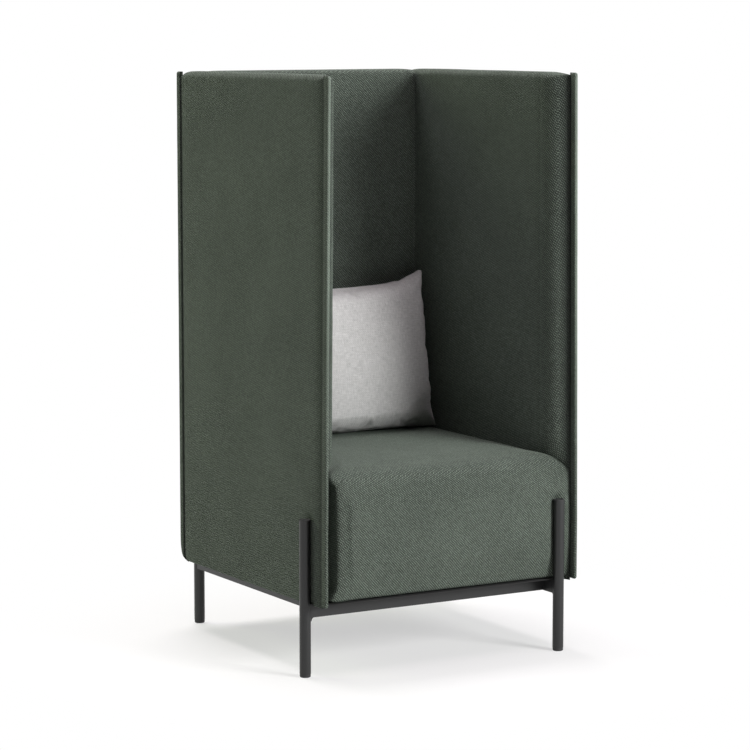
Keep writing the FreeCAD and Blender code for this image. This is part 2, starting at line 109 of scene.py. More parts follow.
class BoothSizes(bpy.types.PropertyGroup):
    """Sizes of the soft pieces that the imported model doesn't hold"""
    toe_in: length("Panel toe-in", "How far each side panel's front edge draws in at its top", 0.009)
    edge_roll: length("Top edge roll", "Radius of the panels' padded top edge", 0.015)
    nose_length: length("Nose length", "Length over which a side panel thins towards its front flange", 0.060)
    heel_radius: length("Heel radius", "Radius of the side panels' lower rear corner", 0.018)
    pinch: length("Seam pinch", "How far the padding is drawn in beside a flange", 0.0050)
    flange_swell: length("Flange swell", "How far a stuffed flange stands past its packed size", 0.0025)
    top_dip: length("Top dip", "How far the top edge dips beside the front flange", 0.0070)
    droop: length("Panel droop", "How far the side panels' outer padding hangs below their boards", 0.006)
    top_rise: length("Top rise", "How far the side panels' top edge rises from rear to front", 0.0023)
    panel_crown: length("Panel crown", "How far a panel's padding swells in its middle", 0.0025)
    seat_front_roll: length("Seat front roll", "Radius of the seat's top front edge", 0.046)
    seat_front_bulge: length("Seat front bulge", "How far the seat's front swells past the panels", 0.010)
    seat_side_roll: length("Seat side roll", "Radius of the seat's top side edges", 0.016)
    stitch_pitch: length("Stitch pitch", "Distance from one flange stitch to the next", 0.0062)
    staple_pitch: length("Staple pitch", "Distance from one lining staple to the next", 0.036)


class BoothColours(bpy.types.PropertyGroup):
    """Colours of the finishes"""
    yarn_light: colour("Light yarn", "Light yarn of the booth cloth", "#727D72")
    yarn_dark: colour("Dark yarn", "Dark yarn of the booth cloth", "#101211")
    # Painted highlight colour for the flanges' folded edges
    edge_highlight_yarn: colour("Edge yarn", "Painted highlight along the flanges' folded edge", "#8A968A")
    cushion_light: colour("Cushion light", "Light fibres of the cushion cloth", "#CFCFCD")
    cushion_dark: colour("Cushion dark", "Grey fibres of the cushion cloth", "#999998")
    coat: colour("Powder coat", "Coat of the steel base", "#1A1B1B")
    thread: colour("Thread", "Sewing thread of the flanges", "#2A302B")
    floor: colour("Floor", "Studio floor", "#F6F6F5")


def sizes():
    return bpy.context.scene.booth_sizes


def colours():
    return bpy.context.scene.booth_colours


# Materials

def linear(hex_value):
    """Linear colour of an sRGB hex value."""
    parts = [int(hex_value[i:i + 2], 16) / 255 for i in (1, 3, 5)]
    return tuple(c / 12.92 if c <= 0.04045 else ((c + 0.055) / 1.055) ** 2.4 for c in parts) + (1.0,)


def add(tree, kind, inputs=None, **settings):
    """New node with its settings; an input is a value, or a socket to link from."""
    new = tree.nodes.new(kind)
    for key, value in settings.items():
        setattr(new, key, value)
    for key, value in (inputs or {}).items():
        if isinstance(value, bpy.types.NodeSocket):
            tree.links.new(value, new.inputs[key])
        else:
            new.inputs[key].default_value = value
    return new


def start_material(name):
    """Empty material with a shader wired to its output."""
    material = bpy.data.materials.new(name)
    material.use_nodes = True
    tree = material.node_tree
    tree.nodes.clear()
    shader = add(tree, "ShaderNodeBsdfPrincipled")
    add(tree, "ShaderNodeOutputMaterial", {"Surface": shader.outputs["BSDF"]})
    return material, tree, shader


def maths(tree, operation, first, second=0.0, third=0.0):
    return add(tree, "ShaderNodeMath", {0: first, 1: second, 2: third}, operation=operation).outputs[0]


def blend_colours(tree, share, first, second, kind="MIX"):
    return add(tree, "ShaderNodeMix", {"Factor": share, "A": first, "B": second}, data_type="RGBA",
               blend_type=kind).outputs["Result"]


def cloth_axes(tree, pitch):
    """Two directions along the cloth, counted in threads of the given pitch."""
    place = add(tree, "ShaderNodeUVMap", uv_map=UV_NAME).outputs["UV"]
    scaled = add(tree, "ShaderNodeVectorMath", {0: place, "Scale": 1 / pitch}, operation="SCALE").outputs[0]
    split = add(tree, "ShaderNodeSeparateXYZ", {0: scaled})
    return split.outputs["X"], split.outputs["Y"], scaled


def booth_cloth():
    """Wool-blend twill: light floats over a dark ground in broken diagonal ribs, matt with a soft nap."""
    rib_pitch = 6.0 * MM       # real ribs are near 3 mm; drawn coarser so that they show at this distance
    patch_size = 160 * MM
    relief = 1.0 * MM
    yarn_level = 0.78
    yarn_spread = 0.40
    painted_groove_shade = 0.65
    painted_edge_highlight = 0.5
    material, tree, shader = start_material("wool_blend_twill")
    u, v, scaled = cloth_axes(tree, rib_pitch)
    wander = add(tree, "ShaderNodeTexNoise", {"Vector": scaled, "Scale": 0.9, "Detail": 2.0}).outputs["Fac"]
    wander = maths(tree, "MULTIPLY_ADD", wander, 0.5, -0.25)
    diagonal = maths(tree, "ADD", maths(tree, "ADD", u, v), wander)
    across = maths(tree, "SUBTRACT", u, v)
    rib_number = maths(tree, "FLOOR", diagonal)
    rib_share = maths(tree, "FRACT", diagonal)
    rib = maths(tree, "SINE", maths(tree, "MULTIPLY", rib_share, math.pi))
    float_place = maths(tree, "MULTIPLY_ADD", rib_number, 0.5, across)
    float_number = maths(tree, "FLOOR", float_place)
    float_share = maths(tree, "FRACT", float_place)
    float_swell = maths(tree, "SINE", maths(tree, "MULTIPLY", float_share, math.pi))
    height = maths(tree, "MULTIPLY", rib, maths(tree, "MULTIPLY_ADD", float_swell, 0.9, 0.1))
    cell = add(tree, "ShaderNodeCombineXYZ", {0: rib_number, 1: float_number}).outputs[0]
    chance = add(tree, "ShaderNodeTexWhiteNoise", {"Vector": cell}, noise_dimensions="2D").outputs["Value"]
    lightness = maths(tree, "MULTIPLY", height, maths(tree, "MULTIPLY_ADD", chance, yarn_spread, yarn_level))
    yarn = blend_colours(tree, lightness, linear(colours().yarn_dark), linear(colours().yarn_light))
    # Painted shade: the cloth turns towards the dark yarn in the grooves beside the flanges
    seam = add(tree, "ShaderNodeAttribute", attribute_name=GROOVE_SHADE_NAME).outputs["Fac"]
    yarn = blend_colours(tree, maths(tree, "MULTIPLY", seam, painted_groove_shade), yarn, linear(colours().yarn_dark))
    # Painted highlight: the flanges' folded edges turn towards the light edge yarn, more so higher up
    fold = add(tree, "ShaderNodeAttribute", attribute_name=EDGE_HIGHLIGHT_NAME).outputs["Fac"]
    yarn = blend_colours(tree, maths(tree, "MULTIPLY", fold, painted_edge_highlight), yarn, linear(colours().edge_highlight_yarn))
    objects = add(tree, "ShaderNodeTexCoord").outputs["Object"]
    patch = add(tree, "ShaderNodeTexNoise", {"Vector": objects, "Scale": 1 / patch_size, "Detail": 3.0})
    shade = add(tree, "ShaderNodeMapRange", {"Value": patch.outputs["Fac"], "From Min": 0.3, "From Max": 0.7,
                                             "To Min": 0.90, "To Max": 1.06}).outputs["Result"]
    tone = add(tree, "ShaderNodeCombineXYZ", {0: shade, 1: shade, 2: shade}).outputs[0]
    tree.links.new(blend_colours(tree, 1.0, yarn, tone, "MULTIPLY"), shader.inputs["Base Color"])
    tree.links.new(maths(tree, "MULTIPLY_ADD", height, -0.12, 0.95), shader.inputs["Roughness"])
    bump = add(tree, "ShaderNodeBump", {"Strength": 0.8, "Distance": relief, "Height": height})
    tree.links.new(bump.outputs["Normal"], shader.inputs["Normal"])
    shader.inputs["Specular IOR Level"].default_value = 0.18
    shader.inputs["Sheen Weight"].default_value = 0.22
    shader.inputs["Sheen Roughness"].default_value = 0.45
    shader.inputs["Sheen Tint"].default_value = linear("#8F9C90")
    return material


def cushion_cloth():
    """Linen-blend plain weave: slubby light and grey fibres crossing at right angles, matt."""
    thread_pitch = 2.6 * MM    # real threads are near 1 mm; drawn coarser so that they show at this distance
    relief = 0.5 * MM
    weave_share = 0.35
    fibre_share = 0.65
    material, tree, shader = start_material("linen_blend_plain_weave")
    u, v, scaled = cloth_axes(tree, thread_pitch)
    warp = maths(tree, "SINE", maths(tree, "MULTIPLY", u, math.pi))
    weft = maths(tree, "SINE", maths(tree, "MULTIPLY", v, math.pi))
    weave = maths(tree, "MULTIPLY_ADD", maths(tree, "MULTIPLY", warp, weft), 0.5, 0.5)
    fibres = []
    for stretch in ((0.16, 1.4, 1.0), (1.4, 0.16, 1.0)):
        along = add(tree, "ShaderNodeVectorMath", {0: scaled, 1: stretch}, operation="MULTIPLY").outputs[0]
        slub = add(tree, "ShaderNodeTexNoise", {"Vector": along, "Scale": 1.0, "Detail": 3.0,
                                                 "Roughness": 0.6})
        fibres.append(slub.outputs["Fac"])
    slubs = maths(tree, "ADD", fibres[0], fibres[1])
    spread = add(tree, "ShaderNodeMapRange", {"Value": slubs, "From Min": 0.72, "From Max": 1.28}).outputs[0]
    lightness = maths(tree, "MULTIPLY_ADD", weave, weave_share, maths(tree, "MULTIPLY", spread, fibre_share))
    yarn = blend_colours(tree, lightness, linear(colours().cushion_dark), linear(colours().cushion_light))
    tree.links.new(yarn, shader.inputs["Base Color"])
    tree.links.new(maths(tree, "MULTIPLY_ADD", lightness, -0.1, 0.95), shader.inputs["Roughness"])
    bump = add(tree, "ShaderNodeBump", {"Strength": 0.35, "Distance": relief, "Height": lightness})
    tree.links.new(bump.outputs["Normal"], shader.inputs["Normal"])
    shader.inputs["Specular IOR Level"].default_value = 0.2
    shader.inputs["Sheen Weight"].default_value = 0.15
    shader.inputs["Sheen Roughness"].default_value = 0.5
    return material


def grained(name, dark, light, grain, stretch, roughness, bump_depth, metallic=0.0, contrast=(0.3, 0.7)):
    """Finish with one grain: tone, gloss and relief follow the same noise."""
    material, tree, shader = start_material(name)
    objects = add(tree, "ShaderNodeTexCoord").outputs["Object"]
    placed = add(tree, "ShaderNodeMapping", {"Vector": objects, "Scale": stretch}).outputs[0]
    speck = add(tree, "ShaderNodeTexNoise", {"Vector": placed, "Scale": 1 / grain, "Detail": 4.0}).outputs[0]
    share = add(tree, "ShaderNodeMapRange", {"Value": speck, "From Min": contrast[0],
                                             "From Max": contrast[1]}).outputs["Result"]
    tree.links.new(blend_colours(tree, share, linear(dark), linear(light)), shader.inputs["Base Color"])
    rough = maths(tree, "MULTIPLY_ADD", share, 0.12, roughness - 0.06)
    tree.links.new(rough, shader.inputs["Roughness"])
    bump = add(tree, "ShaderNodeBump", {"Strength": 0.4, "Distance": bump_depth, "Height": speck})
    tree.links.new(bump.outputs["Normal"], shader.inputs["Normal"])
    shader.inputs["Metallic"].default_value = metallic
    return material


def make_finishes():
    """One material for each material slot of the record."""
    coat = colours().coat
    plain = (1, 1, 1)
    return {
        "booth_cloth": booth_cloth(),
        "cushion_cloth": cushion_cloth(),
        # Polyester powder on steel: satin, with a fine orange peel
        "powder_coat": grained("polyester_powder_coat", "#131414", coat, 1.6 * MM, plain, 0.40, 0.05 * MM),
        # Moulded nylon: matt and slightly mottled
        "black_plastic": grained("moulded_nylon", "#1B1B1C", "#262627", 1.2 * MM, plain, 0.6, 0.04 * MM),
        # Zinc plate on steel: dull, bright metal with cloudy spangle
        "zinc_steel": grained("zinc_plated_steel", "#A2A6A8", "#C6C9CA", 3 * MM, plain, 0.36, 0.02 * MM, 1.0),
        # Birch plywood: pale, with long grain
        "plywood": grained("birch_plywood", "#B8925F", "#DABB8A", 6 * MM, (1, 1, 0.08), 0.6, 0.1 * MM),
        # Polyurethane foam: pale, with open cells
        "foam": grained("polyurethane_foam", "#CFC9B0", "#EAE5D2", 1.5 * MM, plain, 0.9, 0.4 * MM),
        # Rubber and jute strap: dark, coarse weave
        "webbing": grained("elastic_webbing", "#3A342C", "#5B5244", 2.5 * MM, (1, 0.15, 1), 0.85, 0.3 * MM),
        # Spunbond lining: black, with pressed specks
        "lining_cloth": grained("spunbond_lining", "#141414", "#232323", 1.8 * MM, plain, 0.85, 0.15 * MM),
        # Bonded polyester thread: slight gloss along its lay
        "thread": grained("bonded_thread", "#1C201D", colours().thread, 0.6 * MM, plain, 0.6, 0.05 * MM),
    }


FINISHES = {}


# Mesh helpers

def new_object(name, mesh):
    piece = bpy.data.objects.new(name, mesh)
    bpy.context.collection.objects.link(piece)
    return piece


def mesh_piece(name, points, faces):
    """Object from points and faces, doubles merged and faces turned outwards."""
    mesh = bpy.data.meshes.new(name)
    mesh.from_pydata(points, [], faces)
    work = bmesh.new()
    work.from_mesh(mesh)
    bmesh.ops.remove_doubles(work, verts=work.verts, dist=0.01 * MM)
    bmesh.ops.dissolve_degenerate(work, edges=work.edges, dist=0.01 * MM)
    bmesh.ops.recalc_face_normals(work, faces=work.faces)
    work.to_mesh(mesh)
    work.free()
    return new_object(name, mesh)


def settle(piece):
    """Replace the piece's mesh by what its modifiers make of it, smooth shaded."""
    graph = bpy.context.evaluated_depsgraph_get()
    mesh = bpy.data.meshes.new_from_object(piece.evaluated_get(graph))
    piece.modifiers.clear()
    old = piece.data
    piece.data = mesh
    mesh.name = piece.name
    bpy.data.meshes.remove(old)
    for face in mesh.polygons:
        face.use_smooth = True


def subdivide(piece, levels=1):
    smooth = piece.modifiers.new("smooth", "SUBSURF")
    smooth.levels = levels
    smooth.render_levels = levels
    settle(piece)


def lay_cloth(piece):
    """Flat pattern for the weave, in metres: each face is laid out along the axis it faces most, and the
    pattern runs on round upright edges without turning over."""
    mesh = piece.data
    layer = mesh.uv_layers.get(UV_NAME) or mesh.uv_layers.new(name=UV_NAME)
    for face in mesh.polygons:
        n = face.normal
        size = (abs(n.x), abs(n.y), abs(n.z))
        axis = size.index(max(size))
        for corner in face.loop_indices:
            p = mesh.vertices[mesh.loops[corner].vertex_index].co
            along = (p.y * math.copysign(1, n.x), -p.x * math.copysign(1, n.y), p.x)[axis]
            layer.data[corner].uv = (along, p.y if axis == 2 else p.z)


def surface_of(piece):
    """Surface of a piece for casting rays on."""
    mesh = piece.data
    return BVHTree.FromPolygons([v.co for v in mesh.vertices], [f.vertices for f in mesh.polygons])


def finish_piece(piece, slot, body="booth", covers=()):
    """Hand a finished piece to the frame."""
    if slot.endswith("cloth"):
        lay_cloth(piece)
    piece.data.materials.clear()
    piece.data.materials.append(FINISHES[slot])
    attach(piece, body)
    if covers:
        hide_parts(*covers)


def ease(value):
    """Smooth step from 0 to 1."""
    t = min(1.0, max(0.0, value))
    return t * t * (3 - 2 * t)


def steps(low, high, count):
    return [low + (high - low) * i / (count - 1) for i in range(count)]


def slab_loop(low, high, bottom, top, top_roll, bottom_roll, levels):
    """Closed outline of an upright slab seen from its end, from its bottom and up the low side."""
    half = (high - low) / 2
    roll = min(top_roll, half * 0.92, (top - bottom) / 3)
    foot = min(bottom_roll, half * 0.92, (top - bottom) / 3)
    arc = steps(0, math.pi / 2, 7)
    side = []
    for turn in arc[::2]:
        side.append((foot - foot * math.sin(turn), bottom + foot - foot * math.cos(turn)))
    for z in steps(bottom + foot, top - roll, levels)[1:-1]:
        side.append((0.0, z))
    for turn in arc:
        side.append((roll - roll * math.cos(turn), top - roll + roll * math.sin(turn)))
    up = [(low + inset, z) for inset, z in side]
    down = [(high - inset, z) for inset, z in reversed(side)]
    return up + down


def lofted(loops):
    """Points and faces of a skin over equal loops, both ends closed by strips across the loop."""
    count = len(loops[0])
    points = [p for loop in loops for p in loop]
    faces = []
    for i in range(len(loops) - 1):
        for k in range(count):
            after = (k + 1) % count
            faces.append((i * count + k, i * count + after, (i + 1) * count + after, (i + 1) * count + k))
    for start in (0, (len(loops) - 1) * count):
        for k in range(count // 2 - 1):
            faces.append((start + k, start + k + 1, start + count - 2 - k, start + count - 1 - k))
    return points, faces


def forward_share(y):
    """0 at a side panel's rear edge, 1 at its front edge."""
    return min(1.0, max(0.0, (PANEL_REAR - y) / (PANEL_REAR - PANEL_FRONT)))


def toe_in(p):
    """Right panel's front edge draws in towards its top, while its rear edge stands upright."""
    start_height = 0.30
    rise = max(0.0, (p.z - start_height) / (PANEL_TOP - start_height))
    return Vector((p.x - sizes().toe_in * rise * forward_share(p.y), p.y, p.z))


def ripple(p, size, seed):
    """Gentle unevenness of padded cloth, from -1 to 1."""
    return noise.noise(Vector((p.x / size + seed, p.y / size, p.z / size)))


# What the panels share

PANEL_FOOT_ROLL = 5 * MM
PANEL_LEVELS = 46
LEG_DENT = 1.6 * MM


def crown_height(across, z):
    """Swell of a panel's padding at a share across it from -1 to 1: full in the middle, none at the edges."""
    up = (2 * z - PANEL_BOTTOM - PANEL_TOP) / (PANEL_TOP - PANEL_BOTTOM)
    return sizes().panel_crown * max(0.0, 1 - across ** 4) * max(0.0, 1 - up ** 4)


def leg_press(beside, z):
    """Share of the dent that a leg presses into a panel, fading out at the leg's top."""
    half_width = 0.020
    fade = 0.020
    below_top = 0.004
    return math.exp(-(beside / half_width) ** 2) * (1 - ease((z - LEG_TOP + below_top) / fade))


def near_edge(distance, reach):
    """1 at an edge, falling smoothly to 0 at the given reach."""
    return (1 - min(1.0, max(0.0, distance / reach))) ** 2


# Side panels

def nose_inside(y):
    """Inner face of the right panel: it slants out to the front flange."""
    flange_inside = FLANGE_LOW[0]
    softness = 0.1
    t = (PANEL_FRONT + sizes().nose_length - y) / sizes().nose_length
    ramp = (t + math.sqrt(t * t + softness * softness)) / 2
    return PANEL_INSIDE + (flange_inside - PANEL_INSIDE) * ramp


def nose_fullness(y):
    """How far the padding above the seat rounds the nose out from its straight slant."""
    roundness = 0.9
    t = min(1.0, max(0.0, (PANEL_FRONT + sizes().nose_length - y) / sizes().nose_length))
    return roundness * (FLANGE_LOW[0] - PANEL_INSIDE) * (t - 1 + math.sqrt(1 - t * t))


def side_stations():
    """Distances from front to rear at which the panel's outline is drawn."""
    start = PANEL_FRONT
    front = [0, 0.8, 2, 4, 7, 11, 16, 22, 29, 36, 43, 50, 57, 64, 70, 76, 82, 89, 98, 112]
    places = [start + d * MM for d in front]
    heel_start = PANEL_REAR - sizes().heel_radius
    places += steps(start + 0.135, heel_start - 0.032, 17)
    places += [heel_start - d * MM for d in (24, 17, 11, 5)]
    for turn in (0, 12, 24, 36, 48, 58, 66, 73, 79, 84, 88):
        places.append(heel_start + sizes().heel_radius * math.sin(math.radians(turn)))
    places.append(PANEL_REAR)
    return places


def side_body_loops():
    """Outlines of the right panel's padded body from front to rear."""
    s = sizes()
    heel_start = PANEL_REAR - s.heel_radius
    rear_round = 4 * MM
    rear_pinch_share = 0.6
    rear_dip_share = 0.7
    inner_pinch_share = 0.3
    inner_tuck_share = 0.6
    tuck_depth = 2.8 * MM
    tuck_reach = 0.005
    loops = []
    for y in side_stations():
        from_front = y - PANEL_FRONT
        from_rear = PANEL_REAR - y
        pinch = s.pinch * (near_edge(from_front, 0.048) + rear_pinch_share * near_edge(from_rear, 0.036))
        tuck = tuck_depth * (near_edge(from_front, tuck_reach) + near_edge(from_rear, tuck_reach))
        outside = PANEL_OUTSIDE - pinch - tuck
        inside = nose_inside(y) + inner_pinch_share * s.pinch * near_edge(from_front, 0.03)
        inside += inner_tuck_share * tuck
        if from_rear < rear_round:
            inside += rear_round - math.sqrt(rear_round ** 2 - (rear_round - from_rear) ** 2)
        heel = max(0.0, y - heel_start)
        bottom = PANEL_BOTTOM + s.heel_radius - math.sqrt(max(0.0, s.heel_radius ** 2 - heel ** 2))
        dip = s.top_dip * (near_edge(from_front, 0.060) + rear_dip_share * near_edge(from_rear, 0.045))
        loop = slab_loop(inside, outside, bottom, PANEL_TOP - dip, s.edge_roll, PANEL_FOOT_ROLL, PANEL_LEVELS)
        loops.append([(x, y, z) for x, z in loop])
    return loops


def swell_side(p, leg_y):
    """Padding of the right panel: crowned faces, a dent where a leg presses and slight ripples."""
    s = sizes()
    seat_fade = 0.06
    top_fade = 0.06
    droop_fade = 0.08
    rail_room = 16 * MM
    rail_fade = 7 * MM
    crown = crown_height((2 * p.y - PANEL_FRONT - PANEL_REAR) / (PANEL_REAR - PANEL_FRONT), p.z)
    middle = (nose_inside(p.y) + PANEL_OUTSIDE) / 2
    half = max(1 * MM, PANEL_OUTSIDE - middle)
    way = min(1.0, max(-1.0, (p.x - middle) / half))
    x = p.x + way * (crown + 0.5 * MM * ripple(p, 0.09, 3.1) + 0.35 * MM * ripple(p, 0.03, 8.7))
    if way < 0:
        x += way * nose_fullness(p.y) * ease((p.z - SEAT_TOP + seat_fade / 2) / seat_fade)
    if way > 0.5:
        x -= (LEG_DENT + crown) * leg_press(p.y - leg_y, p.z)
    lift = 0.6 * MM * ripple(p, 0.11, 5.5) + s.top_rise * forward_share(p.y)
    z = p.z + lift * ease((p.z - PANEL_TOP + top_fade) / top_fade)
    clear_of_rail = ease((p.x - PANEL_INSIDE - rail_room) / rail_fade)
    z -= s.droop * clear_of_rail * ease((PANEL_BOTTOM + droop_fade - p.z) / droop_fade)
    return Vector((x, p.y, z))


# Half thickness of a sewn flange in millimetres at shares of its depth, from inside the seam to its tip
FLANGE_PROFILE = ((-0.30, 0.9), (-0.04, 0.9), (0.06, 1.0), (0.09, 3.0), (0.15, 4.0), (0.5, 4.3), (0.78, 4.3),
                  (0.91, 3.8), (0.97, 2.7), (1.0, 1.0))


def flange_loops(path):
    """Loops of a flange along a path of (y, z, out_y, out_z, depth, distance to the nearer end)."""
    middle = (FLANGE_LOW[0] + FLANGE_HIGH[0]) / 2
    end_round = 4.6 * MM
    corner_round = 6 * MM
    thinnest = 0.35
    full_depth = 0.012
    loops = []
    for y, z, out_y, out_z, depth, to_end in path:
        lack = max(0.0, end_round - to_end)
        thin = math.sqrt(max(0.0004, 1 - (lack / end_round) ** 2))
        lack = max(0.0, corner_round - to_end)
        reach = depth - (corner_round - math.sqrt(max(0.0, corner_round ** 2 - lack ** 2)))
        slim = min(1.0, thinnest + depth / full_depth)
        side = []
        for share, half in FLANGE_PROFILE:
            out = share * depth if share < 0 else share * max(reach, 0.2 * MM)
            wave = 0.35 * MM * ripple(Vector((share, y, z)), 0.045, 1.7)
            side.append((y + out * out_y, z + out * out_z, half * MM * thin * slim, wave))
        up = [(middle + wave - half, a, b) for a, b, half, wave in side]
        down = [(middle + wave + half, a, b) for a, b, half, wave in reversed(side)]
        loops.append(up + down)
    return loops


def end_spacing(low, high, count):
    """Heights with close steps at both ends, where a flange's end is rounded."""
    close = [0, 0.3, 0.8, 1.6, 2.8, 4.6, 7, 11]
    margin = 0.018
    body = steps(low + margin, high - margin, count)
    return [low + d * MM for d in close] + body + [high - d * MM for d in reversed(close)]


def front_flange_depth():
    return PANEL_FRONT - FLANGE_LOW[1] + sizes().flange_swell


def front_flange_loops():
    """Upright along the panel's front edge, standing a little past its bottom and top."""
    past_end = 1.0 * MM
    low = PANEL_BOTTOM - past_end
    high = PANEL_TOP + past_end
    depth = front_flange_depth()
    path = []
    for z in end_spacing(low, high, 60):
        path.append((PANEL_FRONT, z, -1.0, 0.0, depth, min(z - low, high - z)))
    return flange_loops(path)


def rear_flange_loops():
    """Follows the rounded heel from the panel's underside, then the rear edge to the top."""
    radius = sizes().heel_radius
    depth = FLANGE_HIGH[1] - PANEL_REAR + sizes().flange_swell
    centre_y = PANEL_REAR - radius
    centre_z = PANEL_BOTTOM - sizes().droop + radius
    high = PANEL_TOP - 1.5 * MM
    least_depth = 0.6 * MM
    away_from_ends = 0.02
    heel_end = 12 * MM
    path = []
    for turn in range(0, 91, 6):
        out_y = math.sin(math.radians(turn))
        out_z = -math.cos(math.radians(turn))
        lift = -depth * out_z
        reach = -lift + math.sqrt(lift ** 2 + (radius + depth) ** 2 - depth ** 2)
        place = (centre_y + radius * out_y, centre_z + radius * out_z, out_y, out_z)
        path.append(place + (max(least_depth, reach - radius), away_from_ends))
    last = path[-1][4]
    for z in end_spacing(centre_z, high, 56):
        if z - centre_z > heel_end:
            grown = depth + (last - depth) * max(0.0, 1 - (z - centre_z) / depth)
            path.append((PANEL_REAR, z, 1.0, 0.0, grown, high - z))
    return flange_loops(path)


def panel_bend(piece, side, swell=None):
    """Turn a piece drawn for the right into its place on the given side."""
    for vertex in piece.data.vertices:
        p = swell(vertex.co) if swell else vertex.co
        p = toe_in(p)
        vertex.co = (side * p.x, p.y, p.z)
    if side < 0:
        piece.data.flip_normals()


def mark(piece, name, share_at):
    """Store a share from 0 to 1 at each point of a piece for its cloth."""
    layer = piece.data.attributes.new(name, "FLOAT", "POINT")
    for vertex, item in zip(piece.data.vertices, layer.data):
        item.value = share_at(vertex.co)


def flange_share(p):
    """How far out of its seam a point of a flange lies: 0 at the seam, 1 at the folded edge."""
    return max(PANEL_FRONT - p.y, p.y - PANEL_REAR) / front_flange_depth()


def edge_highlight_share(p):
    """Painted highlight on a flange's folded edge, stronger higher up, where the light catches it."""
    return ease((flange_share(p) - 0.84) / 0.10) * ease((p.z - 0.25) / 0.75)


def flange_groove_shade(p):
    """Painted shade in the groove at a flange's seam."""
    return 1 - ease((flange_share(p) - 0.10) / 0.22)


def body_groove_shade(p):
    """Painted shade where the right panel's outer padding draws in to a flange."""
    outer = ease((p.x - PANEL_OUTSIDE + 0.02) / 0.01)
    return outer * (near_edge(p.y - PANEL_FRONT, 0.036) + 0.6 * near_edge(PANEL_REAR - p.y, 0.025))


def make_side_panel(name, side):
    leg_y = LEG_STEP * side
    cover = name + "_panel"
    body = mesh_piece(name + "_panel_upholstery", *lofted(side_body_loops()))
    subdivide(body)
    # Painted shade where the outer padding draws in to the flanges
    mark(body, GROOVE_SHADE_NAME, body_groove_shade)
    panel_bend(body, side, lambda p: swell_side(p, leg_y))
    finish_piece(body, "booth_cloth",
                 covers=(cover + "_cover", cover + "_inner_foam", cover + "_outer_foam"))
    front = mesh_piece(name + "_front_flange", *lofted(front_flange_loops()))
    rear = mesh_piece(name + "_rear_flange", *lofted(rear_flange_loops()))
    for flange in (front, rear):
        subdivide(flange)
        # Painted highlight on the flange's folded edge
        mark(flange, EDGE_HIGHLIGHT_NAME, edge_highlight_share)
        # Painted shade in the groove at the flange's seam
        mark(flange, GROOVE_SHADE_NAME, flange_groove_shade)
        panel_bend(flange, side)
        finish_piece(flange, "booth_cloth")
    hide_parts(cover + "_flanges")


# Back panel

def make_back_panel():
    end_round = 6 * MM
    end_dip = 3.0 * MM
    margin = 0.05
    reach = PANEL_INSIDE + 1.5 * MM
    close = [0, 0.5, 1.5, 3, 4.5, 6, 9, 14, 22, 34]
    places = [-reach + d * MM for d in close] + steps(-reach + margin, reach - margin, 20)
    places += [reach - d * MM for d in reversed(close)]
    loops = []
    for x in places:
        lack = max(0.0, end_round - (reach - abs(x)))
        inset = end_round - math.sqrt(max(0.0, end_round ** 2 - lack ** 2))
        dip = end_dip * near_edge(reach - abs(x), 0.040)
        loop = slab_loop(PANEL_INSIDE + inset, PANEL_REAR - inset, PANEL_BOTTOM, PANEL_TOP - inset - dip,
                         sizes().edge_roll, PANEL_FOOT_ROLL, PANEL_LEVELS)
        loops.append([(x, y, z) for y, z in loop])
    panel = mesh_piece("back_panel_upholstery", *lofted(loops))
    subdivide(panel)
    middle = (PANEL_INSIDE + PANEL_REAR) / 2
    half = (PANEL_REAR - PANEL_INSIDE) / 2
    for vertex in panel.data.vertices:
        p = vertex.co
        crown = crown_height(p.x / reach, p.z)
        way = min(1.0, max(-1.0, (p.y - middle) / half))
        y = p.y + way * crown + way * 0.6 * MM * ripple(p, 0.09, 6.1)
        if way > 0.5:
            y -= (LEG_DENT + crown) * leg_press(p.x + LEG_STEP, p.z)
        vertex.co = (p.x, y, p.z)
    finish_piece(panel, "booth_cloth",
                 covers=("back_panel_cover", "back_panel_inner_foam", "back_panel_outer_foam"))


# Cloth simulation

def puffed(piece, voxel, pressure, cap):
    """Inflate the piece's skin as cloth and keep each point within the cap of where it was."""
    remesh = piece.modifiers.new("skin", "REMESH")
    remesh.mode = "VOXEL"
    remesh.voxel_size = voxel
    settle(piece)
    frames = 20
    before = [v.co.copy() for v in piece.data.vertices]
    cloth = piece.modifiers.new("cloth", "CLOTH")
    cloth.settings.quality = 5
    cloth.settings.mass = 0.25
    cloth.settings.use_pressure = True
    cloth.settings.uniform_pressure_force = pressure
    cloth.settings.effector_weights.gravity = 0.0
    cloth.point_cache.frame_start = 1
    cloth.point_cache.frame_end = frames
    scene = bpy.context.scene
    for number in range(1, frames + 1):
        scene.frame_set(number)
    settle(piece)
    scene.frame_set(1)
    for vertex, start in zip(piece.data.vertices, before):
        move = vertex.co - start
        if move.length > cap:
            vertex.co = start + move * (cap / move.length)


# Seat block

def seat_half_width(y, corner_round, spread):
    """Half the seat's width: its front corners spread into the room beside the thinning panels."""
    into_padding = 4 * MM
    widest = SEAT_HIGH[0] + spread
    straight = nose_inside(y) + into_padding
    lack = max(0.0, PANEL_FRONT + corner_round - y)
    return min(straight, widest - corner_round + math.sqrt(max(0.0, corner_round ** 2 - lack ** 2)))


